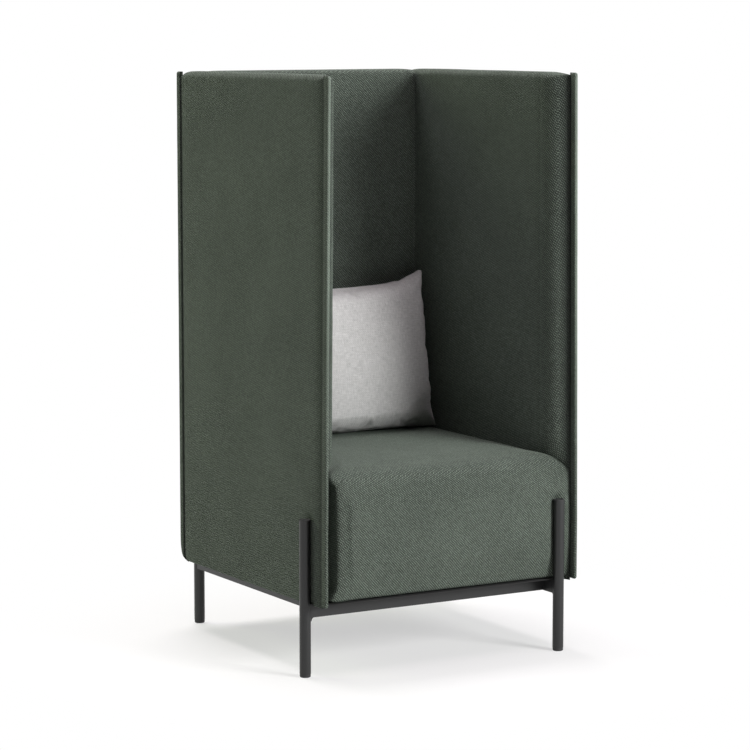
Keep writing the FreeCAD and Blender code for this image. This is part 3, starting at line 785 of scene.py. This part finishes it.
def seat_loops():
    """Outlines of the seat from its rolled front to its rear, a little inside its swollen skin."""
    s = sizes()
    start_inside = 2.0 * MM
    left_corner_round = 0.012
    left_spread = 3 * MM
    right_corner_round = 0.014
    right_spread = 23 * MM
    front_fall = 0.004
    front_fall_reach = 0.16
    rear_fall = 0.010
    rear_reach = 0.02
    foot_roll = 6 * MM
    levels = 26
    front = PANEL_FRONT + start_inside
    rear = PANEL_INSIDE
    roll = s.seat_front_roll
    places = []
    for turn in range(0, 91, 6):
        places.append(front + roll - roll * math.cos(math.radians(turn)))
    places += steps(front + roll + 0.02, rear - rear_reach, 24) + [rear - 0.008, rear - 0.003, rear]
    loops = []
    for y in places:
        lack = max(0.0, front + roll - y)
        drop = roll - math.sqrt(max(0.0, roll ** 2 - lack ** 2))
        drop += front_fall * ease((front + front_fall_reach - y) / front_fall_reach)
        drop += rear_fall * near_edge(rear - y, rear_reach)
        left = start_inside - seat_half_width(y, left_corner_round, left_spread)
        right = seat_half_width(y, right_corner_round, right_spread) - start_inside
        top = SEAT_TOP - start_inside - drop
        loop = slab_loop(left, right, SEAT_BOTTOM, top, s.seat_side_roll, foot_roll, levels)
        loops.append([(x, y, z) for x, z in loop])
    return loops


def shape_seat_corners(x, y, z):
    """Below its front roll the cover is tucked in beside the left flange, and it fills the room beside the
    right one."""
    tuck = 18 * MM
    tuck_start = 0.235
    tuck_depth = 0.047
    spread = 16 * MM
    spread_start = 0.260
    spread_depth = 0.022
    fade = 0.020
    roll_drop = 0.014
    box_edge = 0.006
    below_roll = ease((SEAT_TOP - roll_drop - z) / fade)
    above_box_edge = 0.3 + 0.7 * ease((z - SEAT_BOTTOM - box_edge) / 0.030)
    tuck_share = below_roll * above_box_edge * ease((-x - tuck_start) / 0.050)
    x += tuck * tuck_share * ease((PANEL_FRONT + tuck_depth - y) / fade)
    spread_share = ease((x - spread_start) / 0.045)
    return x + spread * spread_share * ease((PANEL_FRONT + spread_depth - y) / spread_depth)


def crown_seat(x, y, z):
    """Top of the seat: slightly crowned in front, and held down under the cushion."""
    crown = 1.6 * MM
    rim = 1 - ease(abs(x) / 0.30)
    z += crown * rim * ease((z - SEAT_TOP + 0.03) / 0.03) * (1 - ease((y - 0.02) / 0.10))
    if y > 0.10:
        return min(z, SEAT_TOP - 0.2 * MM)
    return min(z, SEAT_TOP + 3.0 * MM)


def shape_seat_front(x, y, z):
    """Front of the seat: it swells past the panels, and the front right leg dents it and draws folds."""
    reach = 0.03
    if y >= PANEL_FRONT + reach:
        return y
    bulge = sizes().seat_front_bulge
    dent_half_width = 0.017
    dent_fade = 0.022
    off_leg = 0.9 * MM
    fold_height = 0.9 * MM
    fold_length = 0.06
    level = min(1.0, max(0.0, (z - SEAT_BOTTOM) / (SEAT_TOP - SEAT_BOTTOM)))
    y -= bulge * math.sin(math.pi * level) ** 0.6 * ease((PANEL_FRONT + reach - y) / reach)
    y = max(y, PANEL_FRONT - bulge)
    beside = x - LEG_STEP
    above = z - LEG_TOP
    press = math.exp(-(beside / dent_half_width) ** 2) * (1 - ease(above / dent_fade))
    fold_strength = math.exp(-(math.hypot(beside, above) / fold_length - 0.5) ** 2 * 6)
    fold = fold_strength * math.sin(math.atan2(above, beside) * 5) * ease((above + 0.01) / 0.02)
    return y + press * max(0.0, PANEL_FRONT + off_leg - y) + fold_height * fold


def make_seat():
    ripple_height = 0.5 * MM
    seat = mesh_piece("seat_upholstery", *lofted(seat_loops()))
    puffed(seat, 8.0 * MM, 4.0, 4.5 * MM)
    subdivide(seat)
    for vertex in seat.data.vertices:
        p = vertex.co
        x = shape_seat_corners(*p)
        z = crown_seat(x, p.y, p.z)
        y = shape_seat_front(x, p.y, z) + ripple_height * ripple(p, 0.08, 2.2)
        z += ripple_height * ripple(p, 0.09, 4.2)
        vertex.co = (x, y, max(z, SEAT_BOTTOM))
    finish_piece(seat, "booth_cloth", covers=("seat_cover", "seat_foam", "seat_front_foam"))


# Loose cushion

CUSHION_WIDTH = 0.544
CUSHION_HEIGHT = 0.404
CUSHION_DEPTH = 0.112
CUSHION_LEAN = math.radians(10)


def pillow_point(u, v, side):
    """Point of a stuffed pillow: its top edge draws in between its ears, its bottom edge sags."""
    draw_in = 0.085 if v > 0 else -0.040
    side_bow = 0.010
    plumpness = 0.55
    edge_half = 1.5 * MM
    x = CUSHION_WIDTH / 2 * u * (1 + side_bow * (1 - v * v))
    z = CUSHION_HEIGHT / 2 * v * (1 - draw_in * (1 - u * u))
    puff = (max(0.0, 1 - u * u) * max(0.0, 1 - v * v)) ** plumpness
    return (x, side * CUSHION_DEPTH / 2 * puff + side * edge_half, z)


def pillow(name):
    """Front and back of the pillow as grids, closer towards the edges, joined by a strip round the rim."""
    columns = 65
    rows = 49
    points = []
    faces = []
    for side in (-1, 1):
        base = len(points)
        for i in range(columns):
            for j in range(rows):
                u = math.sin(math.pi / 2 * (2.0 * i / (columns - 1) - 1))
                v = math.sin(math.pi / 2 * (2.0 * j / (rows - 1) - 1))
                points.append(pillow_point(u, v, side))
        for i in range(columns - 1):
            for j in range(rows - 1):
                a = base + i * rows + j
                quad = (a, a + rows, a + rows + 1, a + 1)
                faces.append(quad if side < 0 else quad[::-1])
    rim = [i * rows for i in range(columns)]
    rim += [(columns - 1) * rows + j for j in range(1, rows)]
    rim += [i * rows + rows - 1 for i in range(columns - 2, -1, -1)]
    rim += range(rows - 2, 0, -1)
    offset = columns * rows
    for a, b in zip(rim, rim[1:] + rim[:1]):
        faces.append((b, a, a + offset, b + offset))
    return mesh_piece(name, points, faces)


def corner_folds(p):
    """Tucks that run from the cushion's corners towards its middle, deeper at the lower corners."""
    folds_per_turn = 8
    middle = 0.035
    half_length = 0.040
    total = 0.0
    for sx in (-1, 1):
        for sz in (-1, 1):
            from_x = sx * CUSHION_WIDTH / 2 - p.x
            from_z = sz * CUSHION_HEIGHT / 2 - p.z
            reach = math.hypot(from_x, from_z)
            turn = math.atan2(from_z * sz, from_x * sx)
            strength = 4.0 if sz < 0 else 1.6
            nearness = math.exp(-((reach - middle) / half_length) ** 2)
            total += strength * math.sin(turn * folds_per_turn + sx) * nearness
    return total


def lean_back(p):
    return Matrix.Rotation(-CUSHION_LEAN, 3, "X") @ p


def held_above(value, limit):
    """Value that comes softly to rest on a limit below it."""
    softness = 8 * MM
    gap = value - limit
    return limit + (gap + math.sqrt(gap * gap + softness * softness)) / 2


def sit(p, shift_y, shift_z):
    """Lean the pillow back and let it rest on the seat and against the back."""
    overlap = 7 * MM
    sink = 11 * MM
    back = PANEL_INSIDE - 1.2 * MM
    seat = SEAT_TOP + 0.8 * MM
    p = lean_back(p)
    y = -held_above(-(p.y + shift_y + overlap), -back)
    return Vector((p.x, y, held_above(p.z + shift_z - sink, seat)))


def crease_cushion(p, ear_top):
    """Tucks, gathers and waves of the cushion's cloth, and its ears with blunt tops."""
    edge_half = 0.012
    fold_height = 2.2 * MM
    ear_lift = 4 * MM
    ear_press = 0.25
    thick = math.tanh(p.y / edge_half)
    rim = max(abs(p.x) / CUSHION_WIDTH, abs(p.z) / CUSHION_HEIGHT) * 2
    gathers = 2.0 * MM * ease((rim - 0.70) / 0.2) * ripple(p, 0.021, 7.7)
    waves = 1.8 * MM * ripple(p, 0.075, 9.3) + 0.6 * MM * ripple(p, 0.027, 4.4)
    y = p.y + thick * (fold_height * corner_folds(p) + gathers + waves)
    z = p.z + ear_lift * ease((abs(p.x) - 0.215) / 0.045) * ease((p.z - 0.13) / 0.06)
    if z > ear_top:
        z = ear_top + ear_press * (z - ear_top)
    return Vector((p.x, y, z))


def make_cushion():
    side_room = 7 * MM
    piece = pillow("cushion_upholstery")
    puffed(piece, 5.0 * MM, 4.0, 26 * MM)
    subdivide(piece)
    vertices = piece.data.vertices
    widest = max(abs(v.co.x) for v in vertices)
    scale = min(1.0, (PANEL_INSIDE - side_room) / widest)
    ear_top = max(v.co.z for v in vertices) - 1 * MM
    for vertex in vertices:
        p = vertex.co
        vertex.co = crease_cushion(Vector((p.x * scale, p.y, p.z)), ear_top)
    leaned = [lean_back(v.co) for v in vertices]
    shift_y = PANEL_INSIDE - max(p.y for p in leaned)
    shift_z = SEAT_TOP - min(p.z for p in leaned)
    seam = cushion_seam(piece)
    for part in (piece, seam):
        for vertex in part.data.vertices:
            vertex.co = sit(vertex.co, shift_y, shift_z)
    finish_piece(piece, "cushion_cloth", "cushion",
                 covers=("cushion_front_cover", "cushion_back_cover", "cushion_fill"))
    finish_piece(seam, "cushion_cloth", "cushion")


def cushion_seam(piece):
    """Sewn edge of the cushion: a fine roll where the two faces meet."""
    surface = surface_of(piece)
    outside = 1.2
    count = 420
    radius = 1.8 * MM
    sides = 8
    ring = []
    for i in range(count):
        turn = 2 * math.pi * i / count
        way = Vector((math.cos(turn) * CUSHION_WIDTH, 0, math.sin(turn) * CUSHION_HEIGHT))
        ring.append(surface.ray_cast(way * outside, -way.normalized())[0])
    points = []
    faces = []
    for i in range(count):
        along = (ring[(i + 1) % count] - ring[i - 1]).normalized()
        out = along.cross(Vector((0, 1, 0))).normalized()
        for k in range(sides):
            turn = 2 * math.pi * k / sides
            p = ring[i] + out * (radius * math.cos(turn)) + Vector((0, radius * math.sin(turn), 0))
            points.append(p)
            after = (k + 1) % sides
            nxt = (i + 1) % count
            faces.append((i * sides + k, i * sides + after, nxt * sides + after, nxt * sides + k))
    seam = mesh_piece("cushion_seam", points, faces)
    for face in seam.data.polygons:
        face.use_smooth = True
    return seam


# Repeated small things, by geometry nodes

def row_tree(name, size, material):
    """Node tree that sets small bars at an even pitch along the object's lines."""
    tree = bpy.data.node_groups.new(name, "GeometryNodeTree")
    tree.interface.new_socket("Geometry", in_out="INPUT", socket_type="NodeSocketGeometry")
    pitch = tree.interface.new_socket("Pitch", in_out="INPUT", socket_type="NodeSocketFloat")
    tree.interface.new_socket("Geometry", in_out="OUTPUT", socket_type="NodeSocketGeometry")
    given = add(tree, "NodeGroupInput")
    lines = add(tree, "GeometryNodeMeshToCurve", {"Mesh": given.outputs["Geometry"]})
    spaced = add(tree, "GeometryNodeCurveToPoints", mode="LENGTH",
                 inputs={"Curve": lines.outputs[0], "Length": given.outputs["Pitch"]})
    bar = add(tree, "GeometryNodeMeshUVSphere", {"Segments": 6, "Rings": 5, "Radius": 0.5})
    shaped = add(tree, "GeometryNodeTransform", {"Geometry": bar.outputs["Mesh"], "Scale": size})
    turned = add(tree, "FunctionNodeAlignRotationToVector", {"Vector": spaced.outputs["Tangent"]}, axis="Z")
    placed = add(tree, "GeometryNodeInstanceOnPoints", {"Points": spaced.outputs["Points"],
                                                        "Instance": shaped.outputs[0],
                                                        "Rotation": turned.outputs[0]})
    real = add(tree, "GeometryNodeRealizeInstances", {"Geometry": placed.outputs[0]})
    dressed = add(tree, "GeometryNodeSetMaterial", {"Geometry": real.outputs[0], "Material": material})
    add(tree, "NodeGroupOutput", {"Geometry": dressed.outputs[0]})
    return tree, pitch.identifier


def row_piece(name, lines, tree_name, size, pitch, slot):
    """Piece made of small bars along the given lines of points."""
    points = []
    edges = []
    for line in lines:
        base = len(points)
        points += line
        edges += [(base + i, base + i + 1) for i in range(len(line) - 1)]
    mesh = bpy.data.meshes.new(name)
    mesh.from_pydata(points, edges, [])
    piece = new_object(name, mesh)
    tree, pitch_id = row_tree(tree_name, size, FINISHES[slot])
    rows = piece.modifiers.new("rows", "NODES")
    rows.node_group = tree
    rows[pitch_id] = pitch
    settle(piece)
    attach(piece, "booth")
    return piece


def make_stitches():
    """Stitch rows beside the front and rear flanges, outside and inside."""
    lines = []
    low_end = 0.05
    high_end = 0.022
    outside = 0.5
    set_back = 3.0 * MM
    into_cloth = 0.1 * MM
    heights = steps(PANEL_BOTTOM + low_end, PANEL_TOP - high_end, 80)
    for name, side in (("left", -1), ("right", 1)):
        surface = surface_of(bpy.data.objects[name + "_panel_upholstery"])
        for y in (PANEL_FRONT + set_back, PANEL_REAR - set_back):
            for from_x in (side * outside, 0.0):
                way = Vector((-side if from_x else side, 0, 0))
                hits = [surface.ray_cast(Vector((from_x, y, z)), way)[0] for z in heights]
                lines.append([p + way * into_cloth for p in hits if p is not None])
    size = (0.9 * MM, 0.9 * MM, 4.6 * MM)
    piece = row_piece("flange_stitches", lines, "stitch_row", size, sizes().stitch_pitch, "thread")


def make_staples():
    """Staples that hold the lining under the seat, along its four edges."""
    inset = 0.012
    proud = 0.2 * MM
    z = DUST_BOTTOM - proud
    half = PANEL_INSIDE - inset
    front = PANEL_FRONT + inset
    corners = [(-half, front), (half, front), (half, half), (-half, half)]
    lines = []
    for i in range(4):
        a = corners[i]
        b = corners[(i + 1) % 4]
        lines.append([Vector((a[0], a[1], z)), Vector((b[0], b[1], z))])
    size = (1.0 * MM, 0.8 * MM, 10 * MM)
    piece = row_piece("lining_staples", lines, "staple_row", size, sizes().staple_pitch, "zinc_steel")


# Studio

LAMP_AIM = Vector((0.0, 0.0, 0.7))
CAMERA_PLACE = (-3.3026, -5.6210, 1.4284)
CAMERA_DOWN = math.radians(7.16)
CAMERA_TURN = math.radians(30.442)
CAMERA_LENS = 137.73


def white_to_the_eye(tree, shader_socket, share):
    """Mix plain white into a surface for what is seen directly, in a mirror or through glass."""
    path = add(tree, "ShaderNodeLightPath").outputs
    seen = maths(tree, "MAXIMUM", maths(tree, "MAXIMUM", path["Is Camera Ray"], path["Is Glossy Ray"]),
                 path["Is Transmission Ray"])
    white = add(tree, "ShaderNodeEmission", {"Color": (1, 1, 1, 1), "Strength": 1.0}).outputs[0]
    amount = maths(tree, "MULTIPLY", seen, share)
    return add(tree, "ShaderNodeMixShader", {0: amount, 1: shader_socket, 2: white}).outputs[0]


def make_floor():
    """Pale floor that keeps the shadow near the booth and turns plain white further out."""
    half = 20.0
    points = [(-half, -half, 0), (half, -half, 0), (half, half, 0), (-half, half, 0)]
    floor = mesh_piece("studio_floor", points, [(0, 1, 2, 3)])
    material, tree, shader = start_material("studio_paper")
    shader.inputs["Base Color"].default_value = linear(colours().floor)
    shader.inputs["Roughness"].default_value = 0.9
    shader.inputs["Specular IOR Level"].default_value = 0.1
    objects = add(tree, "ShaderNodeTexCoord").outputs["Object"]
    distance = add(tree, "ShaderNodeVectorMath", {0: objects}, operation="LENGTH").outputs["Value"]
    share = add(tree, "ShaderNodeMapRange", {"Value": distance, "From Min": 0.30, "From Max": 0.95,
                                             "To Min": 0.55, "To Max": 1.0},
                interpolation_type="SMOOTHSTEP").outputs["Result"]
    output = next(n for n in tree.nodes if n.type == "OUTPUT_MATERIAL")
    tree.links.new(white_to_the_eye(tree, shader.outputs[0], share), output.inputs["Surface"])
    floor.data.materials.append(material)


def make_world():
    """Even pale surroundings, white where the camera sees them."""
    world = bpy.data.worlds.new("studio")
    world.use_nodes = True
    tree = world.node_tree
    tree.nodes.clear()
    place = add(tree, "ShaderNodeTexCoord").outputs["Generated"]
    height = add(tree, "ShaderNodeSeparateXYZ", {0: place}).outputs["Z"]
    glow = add(tree, "ShaderNodeMapRange", {"Value": height, "From Min": -0.2, "From Max": 1.0,
                                            "To Min": 0.004, "To Max": 0.012}).outputs["Result"]
    soft = add(tree, "ShaderNodeBackground", {"Color": (1, 1, 1, 1), "Strength": glow}).outputs[0]
    add(tree, "ShaderNodeOutputWorld", {"Surface": white_to_the_eye(tree, soft, 1.0)})
    bpy.context.scene.world = world


def lamp(name, place, size, power, tint=(1.0, 1.0, 1.0)):
    """Round soft lamp aimed at the middle of the booth, with its size in metres and its power in watts."""
    light = bpy.data.lights.new(name, "AREA")
    light.color = tint
    light.shape = "DISK"
    light.size = size
    light.energy = power
    source = bpy.data.objects.new(name, light)
    source.location = place
    source.rotation_euler = (LAMP_AIM - Vector(place)).to_track_quat("-Z", "Y").to_euler()
    bpy.context.collection.objects.link(source)


def make_camera():
    """Photograph's viewpoint: long lens from the front left, a little above the panels."""
    camera = bpy.data.cameras.new("view")
    camera.sensor_width = 36.0
    camera.lens = CAMERA_LENS
    camera.clip_end = 100.0
    view = bpy.data.objects.new("view", camera)
    view.location = CAMERA_PLACE
    view.rotation_euler = (math.pi / 2 - CAMERA_DOWN, 0.0, -CAMERA_TURN)
    bpy.context.collection.objects.link(view)
    bpy.context.scene.camera = view


# Operators

class BOOTH_OT_stage(bpy.types.Operator):
    """Camera, lamps, floor and surroundings"""
    bl_idname = "booth.stage"
    bl_label = "Studio"

    def execute(self, context):
        context.scene.view_settings.view_transform = "Standard"
        make_world()
        make_floor()
        lamp("key", (2.45, -5.15, 2.55), 2.3, 362.0)
        lamp("overhead", (0.18, -1.02, 4.56), 2.8, 54.0, (1.0, 0.88, 0.95))
        lamp("top_rear", (0.0, 1.87, 5.34), 2.6, 265.0, (1.0, 0.95, 0.98))
        lamp("left_fill", (-3.2, 3.2, 2.81), 2.5, 71.0, (0.90, 1.0, 0.68))
        make_camera()
        return {"FINISHED"}


class BOOTH_OT_finishes(bpy.types.Operator):
    """Materials of the frame, fittings and everything inside"""
    bl_idname = "booth.finishes"
    bl_label = "Finishes"

    def execute(self, context):
        FINISHES.update(make_finishes())
        for row in frame["record"]["subparts"]:
            node = bpy.data.objects[row["node"]]
            node.data.materials.clear()
            node.data.materials.append(FINISHES[row["material_slot"]])
        return {"FINISHED"}


class BOOTH_OT_side_panels(bpy.types.Operator):
    """Padded side panels with their sewn flanges"""
    bl_idname = "booth.side_panels"
    bl_label = "Side panels"

    def execute(self, context):
        make_side_panel("left", -1)
        make_side_panel("right", 1)
        return {"FINISHED"}


class BOOTH_OT_back_panel(bpy.types.Operator):
    """Padded back panel"""
    bl_idname = "booth.back_panel"
    bl_label = "Back panel"

    def execute(self, context):
        make_back_panel()
        return {"FINISHED"}


class BOOTH_OT_seat(bpy.types.Operator):
    """Upholstered seat block"""
    bl_idname = "booth.seat"
    bl_label = "Seat"

    def execute(self, context):
        make_seat()
        return {"FINISHED"}


class BOOTH_OT_cushion(bpy.types.Operator):
    """Loose cushion with its sewn edge"""
    bl_idname = "booth.cushion"
    bl_label = "Cushion"

    def execute(self, context):
        make_cushion()
        return {"FINISHED"}


class BOOTH_OT_stitches(bpy.types.Operator):
    """Stitch rows beside the flanges"""
    bl_idname = "booth.stitches"
    bl_label = "Stitches"

    def execute(self, context):
        make_stitches()
        return {"FINISHED"}


class BOOTH_OT_staples(bpy.types.Operator):
    """Staples of the lining under the seat"""
    bl_idname = "booth.staples"
    bl_label = "Staples"

    def execute(self, context):
        make_staples()
        return {"FINISHED"}


OPERATORS = (BOOTH_OT_stage, BOOTH_OT_finishes, BOOTH_OT_side_panels, BOOTH_OT_back_panel, BOOTH_OT_seat,
             BOOTH_OT_cushion, BOOTH_OT_stitches, BOOTH_OT_staples)


class BOOTH_PT_panel(bpy.types.Panel):
    """Sizes, colours and pieces of the booth"""
    bl_idname = "BOOTH_PT_panel"
    bl_label = "Booth"
    bl_space_type = "VIEW_3D"
    bl_region_type = "UI"
    bl_category = "Booth"

    def draw(self, context):
        for group in (context.scene.booth_sizes, context.scene.booth_colours):
            for key in group.__annotations__:
                self.layout.prop(group, key)
        for operator in OPERATORS:
            self.layout.operator(operator.bl_idname)


CLASSES = (BoothSizes, BoothColours) + OPERATORS + (BOOTH_PT_panel,)


def register():
    for item in CLASSES:
        bpy.utils.register_class(item)
    bpy.types.Scene.booth_sizes = bpy.props.PointerProperty(type=BoothSizes)
    bpy.types.Scene.booth_colours = bpy.props.PointerProperty(type=BoothColours)


def unregister():
    del bpy.types.Scene.booth_sizes
    del bpy.types.Scene.booth_colours
    for item in reversed(CLASSES):
        bpy.utils.unregister_class(item)


def main():
    register()
    bpy.ops.booth.stage()
    bpy.ops.booth.finishes()
    bpy.ops.booth.side_panels()
    bpy.ops.booth.back_panel()
    bpy.ops.booth.seat()
    bpy.ops.booth.cushion()
    bpy.ops.booth.stitches()
    bpy.ops.booth.staples()


if __name__ == "__main__":
    main()
